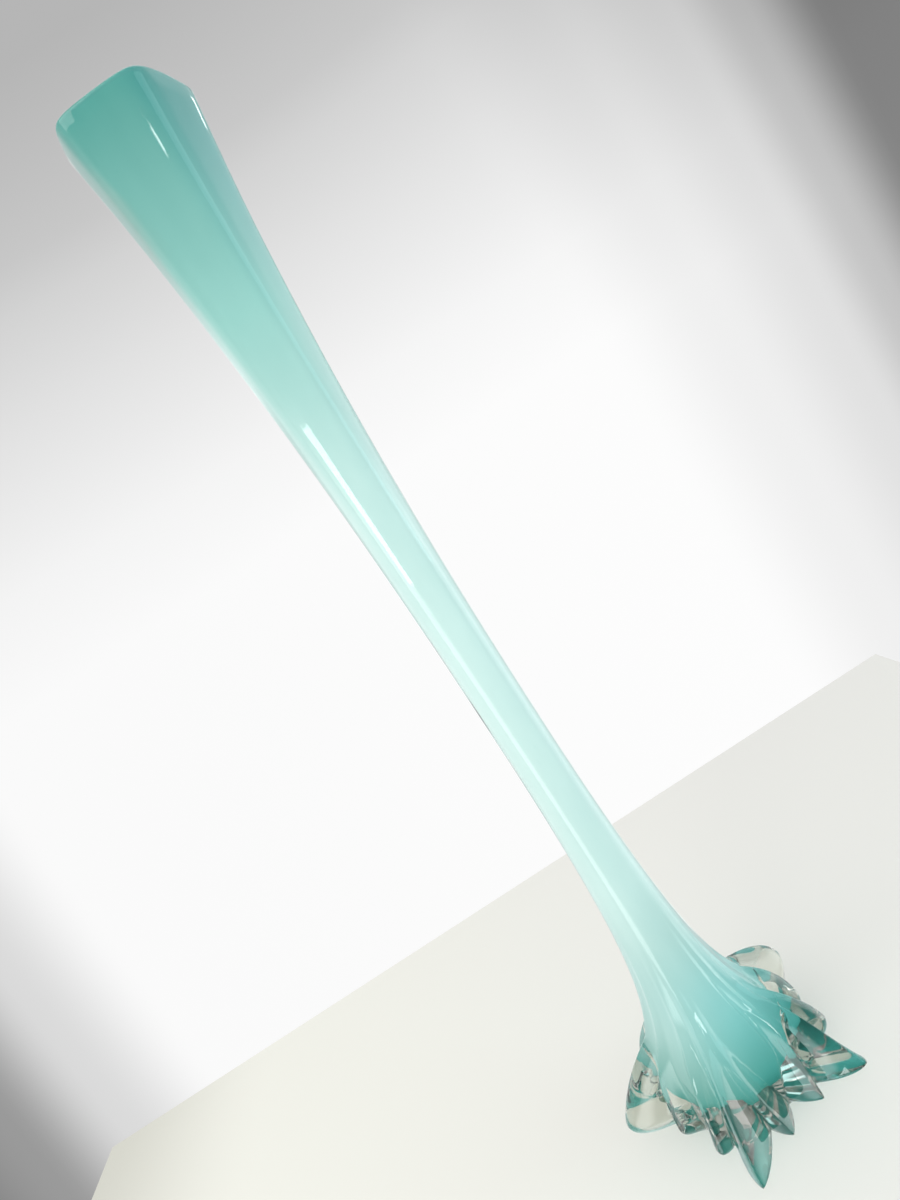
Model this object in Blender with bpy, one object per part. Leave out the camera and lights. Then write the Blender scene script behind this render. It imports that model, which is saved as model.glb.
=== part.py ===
"""Tall stem vase of cased glass.

A thin lining of turquoise opal glass sits inside a clear casing. The casing is five-sided along the
stem, twists slowly, and spreads into a thick solid foot of five long petals with two short points
between each pair. Metres, +Z up, origin at the middle of the ground face that the vase stands on.
"""

import math

import bmesh
import bpy
import numpy as np

# Stem and mouth
VASE_HEIGHT = 0.453
MOUTH_RADIUS = 0.0276
NECK_RADIUS = 0.0105
NECK_HEIGHT = 0.186
TRUMPET_POWER = 2.45

# Flare from the neck down to the bell, a curve that is upright at both ends
BELL_RADIUS = 0.0298
BELL_HEIGHT = 0.018
FLARE_NECK_HANDLE = 0.172
FLARE_BELL_HANDLE = 0.039

# Walls of the two glasses, and the room between them
MOUTH_CASING_WALL = 0.0020
NECK_CASING_WALL = 0.0024
BELL_CASING_WALL = 0.0022
FIT_GAP = 0.0003
LINING_WALL = 0.0012
LINING_ROUND_SHARE = 0.28
FLOOR_THICKNESS = 0.0060
FLOOR_FLAT_RADIUS = 0.0040

# Five-sided section, whose ridges turn slowly up the stem
SIDE_COUNT = 5
FIRST_RIDGE_DEG = 180
RIDGE_TWIST_DEG = -27
TWIST_START_HEIGHT = 0.055
RIDGE_SHARPNESS = 14
MOUTH_FLAT_SHARE = 0.62
NECK_FLAT_SHARE = 0.35

# Fire-polished rim, which falls a little to the right and drops most at the ridge there
RIM_ROUND_HEIGHT = 0.0014
RIM_LEAN = 0.0009
RIM_DROP = 0.0028
RIM_DROP_DIRECTION_DEG = 9
RIM_DROP_POWER = 6
RIM_DROP_REACH = 0.060

# Foot: fifteen tips, of which every third is a long petal, from the left one on round the front
PETAL_REACH = 0.0220
PETAL_ROOT_HEIGHT = 0.041
PETAL_TIP_HEIGHT = 0.014
PETAL_CLEARANCE = 0.003
UNDERSIDE_SHARE = 0.40
GROUND_EDGE_ROUND = 0.0015
# Each tip's reach, its lift off the ground and its turn towards the next, as pulled by hand
TIP_REACH_SHARES = (1.02, 0.32, 0.47, 1.07, 0.50, 0.42, 1.06, 0.54, 0.47, 0.96, 0.53, 0.55, 0.98, 0.53, 0.48)
TIP_LIFT_SHARES = (0.80, 0.50, 0.40, 0.20, 0.20, 0.20, 0.25, 0.50, 0.90, 1.45, 1.00, 0.75, 0.60, 0.60, 0.70)
TIP_TURN_SHARES = (0, -0.08, 0.25, 0.06, 0, 0.12, 0, 0, 0, 0, 0.05, 0, 0.05, 0, 0)
# Its half width, how its sides curve in plan, how full it is above, and how far its rib stands out
TIP_HALF_WIDTHS_DEG = (15, 12, 12, 15, 14, 12, 14, 12, 12, 15, 12, 12, 15, 12, 12)
TIP_SIDE_POWERS = (2.6, 1.2, 1.8, 1.2, 1.15, 1.2, 1.6, 2.2, 2.2, 2.4, 1.6, 1.4, 1.6, 1.4, 1.4)
TIP_FULLNESS = (1.2, 1.6, 1.0, 1.3, 1.0, 1.3, 0.9, 1.2, 1.5, 1.6, 1.3, 1.3, 1.3, 1.3, 1.4)
TIP_RIB_SHARES = (0.5, 0.8, 0.5, 1.0, 0.8, 1.2, 0.6, 0.4, 0.4, 0.5, 0.6, 0.6, 0.8, 0.6, 0.6)
TIP_COUNT = len(TIP_REACH_SHARES)

# Ribs that run on from the tips up the flare, and widen into them low down
RIB_HEIGHT = 0.0030
RIB_HALF_WIDTH_DEG = 7
RIB_TOP_HEIGHT = 0.108
RIB_FADE_POWER = 3
WIDENING_POWER = 2

# The two glasses
CASING_COLOUR = (0.86, 0.94, 0.92)
CASING_ROUGHNESS = 0.03
CASING_TRANSMISSION = 1
CASING_REFRACTION = 1.52
LINING_COLOUR = (0.22, 0.62, 0.57)
LINING_ROUGHNESS = 0.12
LINING_TRANSMISSION = 0.25
LINING_REFRACTION = 1.5

# How finely the faces are divided, and how the rows crowd towards the ground and the bell
STEPS_PER_TIP = 8
INNER_STEPS = 40
COLUMN_CROWDING = 0.6
FOOT_ROWS = 13
BELL_ROWS = 4
FLARE_ROWS = 9
TRUMPET_ROWS = 9
FLOOR_ROWS = 5
RIM_ROWS = 4
FOOT_CROWDING = 1.3
FLARE_CROWDING = 1.5
CURVE_SAMPLES = 400
SMOOTH_ANGLE_DEG = 40

FIRST_RIDGE = math.radians(FIRST_RIDGE_DEG)
HALF_SIDE = math.pi / SIDE_COUNT


def clear_scene():
    for item in list(bpy.data.objects):
        bpy.data.objects.remove(item)


def glass(name, colour, roughness, transmission, refraction):
    material = bpy.data.materials.new(name)
    material.use_nodes = True
    shader = material.node_tree.nodes["Principled BSDF"]
    shader.inputs["Base Color"].default_value = (*colour, 1)
    shader.inputs["Roughness"].default_value = roughness
    shader.inputs["Metallic"].default_value = 0
    shader.inputs["Transmission Weight"].default_value = transmission
    shader.inputs["IOR"].default_value = refraction
    material.diffuse_color = (*colour, 1)
    return material


def ease(share):
    """Smooth step from 0 to 1."""
    share = np.clip(share, 0, 1)
    return share * share * (3 - 2 * share)


def body_radius(height):
    """Distance from the axis to a ridge of the casing, without ribs or petals."""
    up_share = np.clip((height - NECK_HEIGHT) / (VASE_HEIGHT - NECK_HEIGHT), 0, 1)
    trumpet = NECK_RADIUS + (MOUTH_RADIUS - NECK_RADIUS) * up_share**TRUMPET_POWER
    along = np.linspace(0, 1, CURVE_SAMPLES)
    weights = ((1 - along) ** 3, 3 * along * (1 - along) ** 2, 3 * along**2 * (1 - along), along**3)
    handles = (
        BELL_HEIGHT,
        BELL_HEIGHT + FLARE_BELL_HANDLE,
        NECK_HEIGHT - FLARE_NECK_HANDLE,
        NECK_HEIGHT,
    )
    curve_height = sum(weight * handle for weight, handle in zip(weights, handles))
    curve_radius = BELL_RADIUS + (NECK_RADIUS - BELL_RADIUS) * ease(along)
    flare = np.interp(height, curve_height, curve_radius)
    return np.where(height > NECK_HEIGHT, trumpet, flare)


def first_ridge_angle(height):
    """Direction of the first ridge at this height."""
    share = (height - TWIST_START_HEIGHT) / (VASE_HEIGHT - TWIST_START_HEIGHT)
    return FIRST_RIDGE + math.radians(RIDGE_TWIST_DEG) * ease(share)


def between_ridges(angle, height):
    """0 on a ridge and 1 in the middle of a panel, as a rounded polygon runs between them."""
    reach = 0
    for side in range(SIDE_COUNT):
        panel_angle = first_ridge_angle(height) + HALF_SIDE * (2 * side + 1)
        reach = reach + np.maximum(np.cos(angle - panel_angle), 0) ** RIDGE_SHARPNESS
    on_ridge = 2 * math.cos(HALF_SIDE) ** RIDGE_SHARPNESS
    polygon = (reach / on_ridge) ** (-1 / RIDGE_SHARPNESS)
    return (1 - polygon) / (1 - on_ridge ** (1 / RIDGE_SHARPNESS))


def body_face(angle, height, inset, roundness):
    """Radius of a face that lies this far inside the five-sided body, and is rounder than it."""
    rise = ease((height - NECK_HEIGHT) / (VASE_HEIGHT - NECK_HEIGHT))
    flatness = (NECK_FLAT_SHARE + (MOUTH_FLAT_SHARE - NECK_FLAT_SHARE) * rise) * (1 - roundness)
    dip = flatness * (1 - math.cos(HALF_SIDE)) * between_ridges(angle, height)
    return body_radius(height) * (1 - dip) - inset


def bore_face(angle, height, deeper):
    """Radius of a face this much deeper than the casing's wall, which changes between mouth, neck and bell."""
    above = ease((height - NECK_HEIGHT) / (VASE_HEIGHT - NECK_HEIGHT))
    below = ease((NECK_HEIGHT - height) / (NECK_HEIGHT - BELL_HEIGHT))
    wall = NECK_CASING_WALL + (MOUTH_CASING_WALL - NECK_CASING_WALL) * above
    wall = wall + (BELL_CASING_WALL - NECK_CASING_WALL) * below
    return body_face(angle, height, wall + deeper, LINING_ROUND_SHARE)


def tip_stand_out(angle, height, tip):
    """How far one petal or point stands out of the body.

    Across it is 1 less a power of the way to its side. Upwards it falls away by another power and narrows
    to a rib, which runs on up the flare. Under its tip it is a quarter of an ellipse.
    """
    lift = TIP_LIFT_SHARES[tip]
    tip_height = PETAL_TIP_HEIGHT * lift
    above = np.clip((height - tip_height) / (PETAL_ROOT_HEIGHT - tip_height), 0, 1)
    below = np.clip((tip_height - height) / (tip_height - PETAL_CLEARANCE * lift), 0, 1)
    ground = UNDERSIDE_SHARE * max(1 - lift, 0)
    under = ground + (1 - ground) * np.sqrt(1 - below**2)
    profile = np.where(height > tip_height, 1 - above ** TIP_FULLNESS[tip], under)
    rib_share = np.clip((RIB_TOP_HEIGHT - height) / (RIB_TOP_HEIGHT - PETAL_ROOT_HEIGHT), 0, 1)
    spacing = 2 * math.pi / TIP_COUNT
    away = angle - FIRST_RIDGE - (tip + TIP_TURN_SHARES[tip]) * spacing
    away = np.abs(np.mod(away + math.pi, 2 * math.pi) - math.pi)
    widening = (TIP_HALF_WIDTHS_DEG[tip] - RIB_HALF_WIDTH_DEG) * profile**WIDENING_POWER
    half_width = np.radians(RIB_HALF_WIDTH_DEG + widening)
    crest = 1 - np.clip(away / half_width, 0, 1) ** TIP_SIDE_POWERS[tip]
    rib = RIB_HEIGHT * TIP_RIB_SHARES[tip] * rib_share**RIB_FADE_POWER
    return crest * (PETAL_REACH * TIP_REACH_SHARES[tip] * profile + rib)


def casing_face(angle, height):
    """Radius of the casing's outer face: the body with its petals, points and ribs."""
    tips = [tip_stand_out(angle, height, tip) for tip in range(TIP_COUNT)]
    corner = np.clip(1 - height / GROUND_EDGE_ROUND, 0, 1)
    edge = GROUND_EDGE_ROUND * (1 - np.sqrt(1 - corner**2))
    return body_face(angle, height, edge, 0) + np.max(tips, axis=0)


def directions(steps):
    return FIRST_RIDGE + np.arange(steps) * 2 * math.pi / steps


def crest_directions(height):
    """Directions of the outer columns: crowded round every crest up to the ribs' tops, then evenly spaced.

    Between two crests a column's share of the way is its plain share less a sine of it.
    """
    crests = (np.arange(TIP_COUNT) + np.array(TIP_TURN_SHARES)) * 2 * math.pi / TIP_COUNT
    gaps = np.diff(np.append(crests, crests[0] + 2 * math.pi))
    share = np.arange(STEPS_PER_TIP) / STEPS_PER_TIP
    share = share - COLUMN_CROWDING * np.sin(2 * math.pi * share) / (2 * math.pi)
    crowded = FIRST_RIDGE + (crests[:, None] + gaps[:, None] * share).ravel()
    rise = ease((height - RIB_TOP_HEIGHT) / (NECK_HEIGHT - RIB_TOP_HEIGHT))
    return crowded * (1 - rise) + directions(crowded.size) * rise


def ring(angle, radius, height):
    """Points round the axis. Near the rim they sink to the right, most of all at one ridge."""
    near_rim = ease((height - VASE_HEIGHT + RIM_DROP_REACH) / RIM_DROP_REACH)
    dip = np.maximum(np.cos(angle - math.radians(RIM_DROP_DIRECTION_DEG)), 0) ** RIM_DROP_POWER
    drop = near_rim * (RIM_LEAN * (1 + np.cos(angle)) + RIM_DROP * dip)
    return np.stack([radius * np.cos(angle), radius * np.sin(angle), height - drop], axis=1)


def stem_heights():
    """Heights of the rows from the roots of the petals to the rim, closest where the flare bends."""
    flare_share = (np.arange(FLARE_ROWS) / FLARE_ROWS) ** FLARE_CROWDING
    flare = PETAL_ROOT_HEIGHT + (NECK_HEIGHT - PETAL_ROOT_HEIGHT) * flare_share
    trumpet = np.linspace(NECK_HEIGHT, VASE_HEIGHT - RIM_ROUND_HEIGHT, TRUMPET_ROWS + 1)
    return np.concatenate([flare, trumpet])


def outer_rings():
    """The casing's outer face, from the ground up."""
    foot = PETAL_ROOT_HEIGHT * (np.arange(FOOT_ROWS) / FOOT_ROWS) ** FOOT_CROWDING
    rings = []
    for height in np.concatenate([foot, stem_heights()]):
        angle = crest_directions(height)
        rings.append(ring(angle, casing_face(angle, height), height))
    return rings


def inner_rings(deeper):
    """A face this much deeper than the casing's wall, from the closed end of the bell up."""
    angle = directions(INNER_STEPS)
    bell = bore_face(angle, BELL_HEIGHT, deeper)
    depth = BELL_HEIGHT - FLOOR_THICKNESS - deeper
    rings = []
    for row in range(FLOOR_ROWS):
        # A quarter of an ellipse round the flat of the floor
        turn = math.pi / 2 * (1 - row / FLOOR_ROWS)
        radius = FLOOR_FLAT_RADIUS + (bell - FLOOR_FLAT_RADIUS) * math.cos(turn)
        rings.append(ring(angle, radius, BELL_HEIGHT - depth * math.sin(turn)))
    bell_rows = BELL_HEIGHT + (PETAL_ROOT_HEIGHT - BELL_HEIGHT) * np.arange(BELL_ROWS) / BELL_ROWS
    for height in np.concatenate([bell_rows, stem_heights()]):
        rings.append(ring(angle, bore_face(angle, height, deeper), height))
    return rings


def rim_rings(angle, outer, inner):
    """The rounded rim of one layer, from its outer radius over to its inner one."""
    shoulder = VASE_HEIGHT - RIM_ROUND_HEIGHT
    rings = []
    for row in range(1, RIM_ROWS):
        turn = math.pi * row / RIM_ROWS
        radius = (outer + inner) / 2 + (outer - inner) / 2 * math.cos(turn)
        points = ring(angle, radius, shoulder)
        points[:, 2] += RIM_ROUND_HEIGHT * math.sin(turn)
        rings.append(points)
    return rings


def skin(model, first, second):
    """Triangles between two rings, where the first may hold a multiple of the second's corners."""
    ratio = len(first) // len(second)
    middle = ratio // 2
    for index, corner in enumerate(second):
        following = second[(index + 1) % len(second)]
        run = [first[(index * ratio + step) % len(first)] for step in range(ratio + 1)]
        for step in range(ratio):
            model.faces.new((run[step], run[step + 1], corner if step < middle else following))
        model.faces.new((run[middle], following, corner))


def glass_layer(name, rings, material):
    """Closed body through a chain of rings, flat at both ends."""
    model = bmesh.new()
    corners = [[model.verts.new(point) for point in points] for points in rings]
    for first, second in zip(corners, corners[1:]):
        skin(model, first, second)
    model.faces.new(corners[0])
    model.faces.new(corners[-1])
    bmesh.ops.recalc_face_normals(model, faces=model.faces)
    mesh = bpy.data.meshes.new(name)
    model.to_mesh(mesh)
    model.free()
    mesh.shade_smooth()
    mesh.set_sharp_from_angle(angle=math.radians(SMOOTH_ANGLE_DEG))
    mesh.materials.append(material)
    layer = bpy.data.objects.new(name, mesh)
    bpy.context.collection.objects.link(layer)
    return layer


def clear_casing():
    """Outer layer: up the outer face, over the rim, and down the bore to its closed end."""
    angle = directions(INNER_STEPS)
    shoulder = VASE_HEIGHT - RIM_ROUND_HEIGHT
    top = rim_rings(angle, body_face(angle, shoulder, 0, 0), bore_face(angle, shoulder, 0))
    rings = outer_rings() + top + inner_rings(0)[::-1]
    clear = glass("clear_glass", CASING_COLOUR, CASING_ROUGHNESS, CASING_TRANSMISSION, CASING_REFRACTION)
    return glass_layer("clear_casing", rings, clear)


def opaline_liner():
    """Inner layer: its outer face follows the bore, and its inner face is the inside of the vase."""
    angle = directions(INNER_STEPS)
    shoulder = VASE_HEIGHT - RIM_ROUND_HEIGHT
    inside = FIT_GAP + LINING_WALL
    top = rim_rings(angle, bore_face(angle, shoulder, FIT_GAP), bore_face(angle, shoulder, inside))
    rings = inner_rings(FIT_GAP) + top + inner_rings(inside)[::-1]
    opal = glass("opal_glass", LINING_COLOUR, LINING_ROUGHNESS, LINING_TRANSMISSION, LINING_REFRACTION)
    return glass_layer("opaline_liner", rings, opal)


def main():
    clear_scene()
    vase = bpy.data.objects.new("vase", None)
    bpy.context.collection.objects.link(vase)
    for layer in (clear_casing(), opaline_liner()):
        layer.parent = vase


main()
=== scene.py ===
"""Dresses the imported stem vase: its clear casing, its opal lining and a plain studio round them.

Both glasses are built as the solids are, with far more rows, finer ribs and some sizes of their own.
Metres, +Z up. The vase stands on the floor at the origin, and its front faces -Y, where the camera is.
"""

import math

import bpy
import numpy as np
from mathutils import Matrix, Vector


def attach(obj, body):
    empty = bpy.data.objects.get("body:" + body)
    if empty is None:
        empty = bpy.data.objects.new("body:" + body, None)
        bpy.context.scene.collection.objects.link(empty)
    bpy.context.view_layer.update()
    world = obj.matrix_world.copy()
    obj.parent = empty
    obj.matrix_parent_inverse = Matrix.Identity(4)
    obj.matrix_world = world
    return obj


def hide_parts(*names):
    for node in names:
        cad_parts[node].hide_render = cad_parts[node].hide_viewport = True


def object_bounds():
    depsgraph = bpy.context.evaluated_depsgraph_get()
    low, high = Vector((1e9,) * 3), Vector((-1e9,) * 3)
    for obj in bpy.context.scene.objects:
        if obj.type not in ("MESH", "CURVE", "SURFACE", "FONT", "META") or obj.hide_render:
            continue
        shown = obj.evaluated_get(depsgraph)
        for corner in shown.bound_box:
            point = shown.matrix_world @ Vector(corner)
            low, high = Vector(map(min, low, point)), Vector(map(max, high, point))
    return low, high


bl_info = {
    "name": "Cased Glass Stem Vase",
    "version": (1, 0, 0),
    "blender": (4, 5, 0),
    "location": "View3D > Sidebar > Vase",
    "description": "Builds a tall stem vase of opal glass cased in clear glass",
    "category": "Add Mesh",
}

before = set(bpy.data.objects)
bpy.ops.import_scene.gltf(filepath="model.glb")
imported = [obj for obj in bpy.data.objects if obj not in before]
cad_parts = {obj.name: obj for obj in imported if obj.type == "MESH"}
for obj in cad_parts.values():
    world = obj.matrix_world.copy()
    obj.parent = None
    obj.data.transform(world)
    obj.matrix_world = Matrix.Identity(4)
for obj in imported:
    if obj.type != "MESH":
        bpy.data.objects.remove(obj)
SOLID_BOX = [list(corner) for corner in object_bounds()]
TIP_COUNT = 15

# Rows of points up the casing, and how strongly they crowd towards the low end of the foot and of the flare
FOOT_ROWS = 64
FLARE_ROWS = 72
TRUMPET_ROWS = 44
FOOT_CROWDING = 1.15
FLARE_CROWDING = 1.5

# Columns from one crest of the casing to the next, and columns round the lining
COLUMNS_PER_CREST = 22
LINING_COLUMNS = 240

# Rows in the rounded floors of the casing's bore and of the lining, and steps over the rim and down the flare
BORE_ROWS = 10
LINING_ROWS = 12
RIM_STEPS = 9
CURVE_STEPS = 400

# Faces whose middle is lower than this lie on the ground
GROUND_LEVEL = 1e-6

WHITE = (1, 1, 1)
UNTINTED = (1, 1, 1, 1)


class StemSizes(bpy.types.PropertyGroup):
    """The five-sided stem, from the bell in the foot up to the mouth."""

    height: bpy.props.FloatProperty(
        name="Height", description="From the ground to the rim", default=SOLID_BOX[1][2], unit="LENGTH"
    )
    mouth_radius: bpy.props.FloatProperty(
        name="Mouth radius", description="From the axis to a ridge at the rim", default=0.0268, unit="LENGTH"
    )
    neck_radius: bpy.props.FloatProperty(
        name="Neck radius",
        description="From the axis to a ridge at the narrowest place",
        default=0.0105,
        unit="LENGTH",
    )
    neck_height: bpy.props.FloatProperty(
        name="Neck height", description="Where the stem is narrowest", default=0.186, unit="LENGTH"
    )
    trumpet_power: bpy.props.FloatProperty(
        name="Trumpet power", description="How late the stem opens towards the mouth", default=2.38
    )
    bell_radius: bpy.props.FloatProperty(
        name="Bell radius",
        description="From the axis to the foot's face under the petals",
        default=0.0298,
        unit="LENGTH",
    )
    bell_height: bpy.props.FloatProperty(
        name="Bell height", description="Where the bell is widest", default=0.018, unit="LENGTH"
    )
    flare_neck_handle: bpy.props.FloatProperty(
        name="Neck handle", description="How far down the neck keeps its width", default=0.172, unit="LENGTH"
    )
    flare_bell_handle: bpy.props.FloatProperty(
        name="Bell handle", description="How far up the bell keeps its width", default=0.039, unit="LENGTH"
    )
    side_count: bpy.props.IntProperty(name="Sides", description="Panels round the stem", default=5)
    first_ridge: bpy.props.FloatProperty(
        name="First ridge",
        description="Direction of the first ridge at the foot",
        default=math.pi,
        subtype="ANGLE",
    )
    twist: bpy.props.FloatProperty(
        name="Twist",
        description="How far the ridges turn on their way up",
        default=math.radians(-27),
        subtype="ANGLE",
    )
    twist_start: bpy.props.FloatProperty(
        name="Twist start", description="Height where the ridges begin to turn", default=0.055, unit="LENGTH"
    )
    ridge_sharpness: bpy.props.FloatProperty(
        name="Ridge sharpness", description="How crisp the ridges are", default=9
    )
    mouth_flatness: bpy.props.FloatProperty(
        name="Mouth flatness",
        description="1 for flat panels at the mouth, 0 for round",
        default=0.62,
        subtype="FACTOR",
    )
    neck_flatness: bpy.props.FloatProperty(
        name="Neck flatness", description="The same from the neck down", default=0.35, subtype="FACTOR"
    )
    rim_round: bpy.props.FloatProperty(
        name="Rim round", description="Height of the rim's rounding", default=0.0014, unit="LENGTH"
    )
    rim_lean: bpy.props.FloatProperty(
        name="Rim lean",
        description="How far the low side of the rim is below its middle",
        default=0.0012,
        unit="LENGTH",
    )
    rim_lean_turn: bpy.props.FloatProperty(
        name="Rim lean direction",
        description="Direction of the rim's low side",
        default=math.radians(70),
        subtype="ANGLE",
    )
    rim_drop: bpy.props.FloatProperty(
        name="Rim drop",
        description="How far the rim dips at its right-hand ridge",
        default=0.0028,
        unit="LENGTH",
    )
    rim_drop_turn: bpy.props.FloatProperty(
        name="Rim drop direction",
        description="Direction of the dip",
        default=math.radians(9),
        subtype="ANGLE",
    )
    rim_drop_power: bpy.props.FloatProperty(
        name="Rim drop power", description="How narrow the dip is round the rim", default=6
    )
    rim_drop_reach: bpy.props.FloatProperty(
        name="Rim drop reach", description="How far down the dip is felt", default=0.060, unit="LENGTH"
    )


class WallSizes(bpy.types.PropertyGroup):
    """The walls of the two glasses."""

    mouth_casing: bpy.props.FloatProperty(
        name="Mouth casing",
        description="Wall of the clear casing at the mouth",
        default=0.0020,
        unit="LENGTH",
    )
    neck_casing: bpy.props.FloatProperty(
        name="Neck casing", description="Wall of the clear casing at the neck", default=0.0024, unit="LENGTH"
    )
    bell_casing: bpy.props.FloatProperty(
        name="Bell casing",
        description="Wall of the clear casing round the bell",
        default=0.0014,
        unit="LENGTH",
    )
    roundness: bpy.props.FloatProperty(
        name="Roundness",
        description="How much rounder than the casing the lining is",
        default=0.28,
        subtype="FACTOR",
    )
    lining_gap: bpy.props.FloatProperty(
        name="Lining gap",
        description="From the solid casing's bore to the lining",
        default=0.0003,
        unit="LENGTH",
    )
    lining: bpy.props.FloatProperty(
        name="Lining", description="Wall of the opal lining", default=0.0011, unit="LENGTH"
    )
    fusion: bpy.props.FloatProperty(
        name="Fusion",
        description="How far the casing runs into the lining, as melted glass does",
        default=0.0004,
        unit="LENGTH",
    )
    floor: bpy.props.FloatProperty(
        name="Floor", description="Clear glass under the bell", default=0.0055, unit="LENGTH"
    )
    floor_flat: bpy.props.FloatProperty(
        name="Floor flat", description="Radius of the flat of the bell's floor", default=0.0040, unit="LENGTH"
    )


class FootSizes(bpy.types.PropertyGroup):
    """The foot: fifteen tips, of which every third is a long petal, from the left one on round the front."""

    reach: bpy.props.FloatProperty(
        name="Reach", description="How far a whole petal stands out", default=0.0220, unit="LENGTH"
    )
    root_height: bpy.props.FloatProperty(
        name="Root height", description="Where the petals leave the flare", default=0.041, unit="LENGTH"
    )
    tip_height: bpy.props.FloatProperty(
        name="Tip height", description="Height of the tips", default=0.014, unit="LENGTH"
    )
    clearance: bpy.props.FloatProperty(
        name="Clearance", description="How far the tips stay off the ground", default=0.003, unit="LENGTH"
    )
    underside: bpy.props.FloatProperty(
        name="Underside",
        description="How far the solid foot runs under a tip",
        default=0.40,
        subtype="FACTOR",
    )
    ground_round: bpy.props.FloatProperty(
        name="Ground round", description="Rounding of the ground edge", default=0.0015, unit="LENGTH"
    )
    tip_reach: bpy.props.FloatVectorProperty(
        name="Tip reach",
        description="Each tip's reach as a share of a whole petal",
        size=TIP_COUNT,
        default=(1.00, 0.32, 0.47, 1.07, 0.50, 0.42, 1.02, 0.54, 0.47, 0.94, 0.53, 0.55, 0.96, 0.53, 0.48),
    )
    tip_lift: bpy.props.FloatVectorProperty(
        name="Tip lift",
        description="Each tip's height as a share of the tip height",
        size=TIP_COUNT,
        default=(0.80, 0.50, 0.40, 0.20, 0.20, 0.20, 0.25, 0.80, 1.00, 1.45, 1.00, 0.75, 0.60, 0.60, 0.70),
    )
    tip_turn: bpy.props.FloatVectorProperty(
        name="Tip turn",
        description="Each tip's turn towards the next as a share of their spacing",
        size=TIP_COUNT,
        default=(0, -0.08, 0.25, 0.06, 0, 0.12, 0, 0, 0, 0, 0.05, 0, 0.05, 0, 0),
    )
    tip_width: bpy.props.FloatVectorProperty(
        name="Tip width",
        description="Half of each tip's width",
        size=TIP_COUNT,
        default=np.radians((15, 12, 12, 15, 14, 12, 15.5, 12, 12, 15, 12, 12, 15, 12, 12)).tolist(),
    )
    tip_power: bpy.props.FloatVectorProperty(
        name="Tip power",
        description="How each tip's sides curve in plan: 1 for straight ones, 2 for a round lobe",
        size=TIP_COUNT,
        default=(2.6, 1.2, 1.8, 1.2, 1.15, 1.2, 1.6, 2.2, 2.2, 2.4, 1.6, 1.4, 1.6, 1.4, 1.4),
    )
    tip_fullness: bpy.props.FloatVectorProperty(
        name="Tip fullness",
        description="How full each tip is above its highest reach: 1 for a straight slope",
        size=TIP_COUNT,
        default=(1.2, 1.6, 1.0, 1.3, 1.0, 1.3, 0.9, 1.2, 1.5, 1.6, 1.3, 1.3, 1.3, 1.3, 1.4),
    )
    tip_skew: bpy.props.FloatVectorProperty(
        name="Tip skew",
        description="How much steeper each rib's right flank is than its left one",
        size=TIP_COUNT,
        default=(-0.2, -0.3, -0.3, -0.2, 0.3, 0, 0.2, 0.35, 0.2, 0, 0, 0, 0, 0, 0),
    )
    tip_rib: bpy.props.FloatVectorProperty(
        name="Tip rib",
        description="How far each tip's rib stands out, as a share of the rib height",
        size=TIP_COUNT,
        default=(0.5, 0.6, 0.6, 0.9, 0.7, 1.1, 0.7, 0.9, 0.5, 0.5, 0.6, 0.6, 0.8, 0.6, 0.6),
    )
    rib_height: bpy.props.FloatProperty(
        name="Rib height",
        description="How far the ribs stand out of the flare",
        default=0.0030,
        unit="LENGTH",
    )
    rib_top: bpy.props.FloatProperty(
        name="Rib top", description="Where the ribs run out", default=0.108, unit="LENGTH"
    )
    rib_fade: bpy.props.FloatProperty(
        name="Rib fade",
        description="How soon a rib sinks on its way up",
        default=3.5,
    )
    rib_width: bpy.props.FloatVectorProperty(
        name="Rib width",
        description="Half of each rib's width",
        size=TIP_COUNT,
        default=np.radians((10, 8, 8, 9, 9, 6, 8, 9, 10, 10, 10, 10, 10, 10, 10)).tolist(),
    )
    rib_power: bpy.props.FloatProperty(
        name="Rib power", description="How a rib's flanks curve: 1 for straight ones", default=1.1
    )
    rib_turn: bpy.props.FloatVectorProperty(
        name="Rib turn",
        description="How far each rib swings to the right of its tip on its way up",
        size=TIP_COUNT,
        default=np.radians((0, 0, 0, 0, -12, 8, 2, -13, 0, 0, 0, 0, 0, 0, 0)).tolist(),
    )
    widening: bpy.props.FloatProperty(
        name="Widening", description="How late a rib widens into its petal on its way down", default=2.0
    )
    column_crowding: bpy.props.FloatProperty(
        name="Column crowding", description="How much closer the columns stand beside a crest", default=0.6
    )
    loose_ridge: bpy.props.FloatProperty(
        name="Loose ridge",
        description="Direction of the ridge that runs down between two tips",
        default=math.radians(299),
        subtype="ANGLE",
    )
    loose_turn: bpy.props.FloatProperty(
        name="Loose ridge turn",
        description="How far it swings on its way up",
        default=math.radians(10),
        subtype="ANGLE",
    )
    loose_width: bpy.props.FloatProperty(
        name="Loose ridge width", description="Half of its width", default=math.radians(10), subtype="ANGLE"
    )
    loose_height: bpy.props.FloatProperty(
        name="Loose ridge height", description="How far that ridge stands out", default=0.0028, unit="LENGTH"
    )
    loose_skew: bpy.props.FloatProperty(
        name="Loose ridge skew", description="How much steeper its right flank is", default=0.4
    )
    loose_end: bpy.props.FloatProperty(
        name="Loose ridge end",
        description="Height where that ridge is fully grown",
        default=0.026,
        unit="LENGTH",
    )


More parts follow.
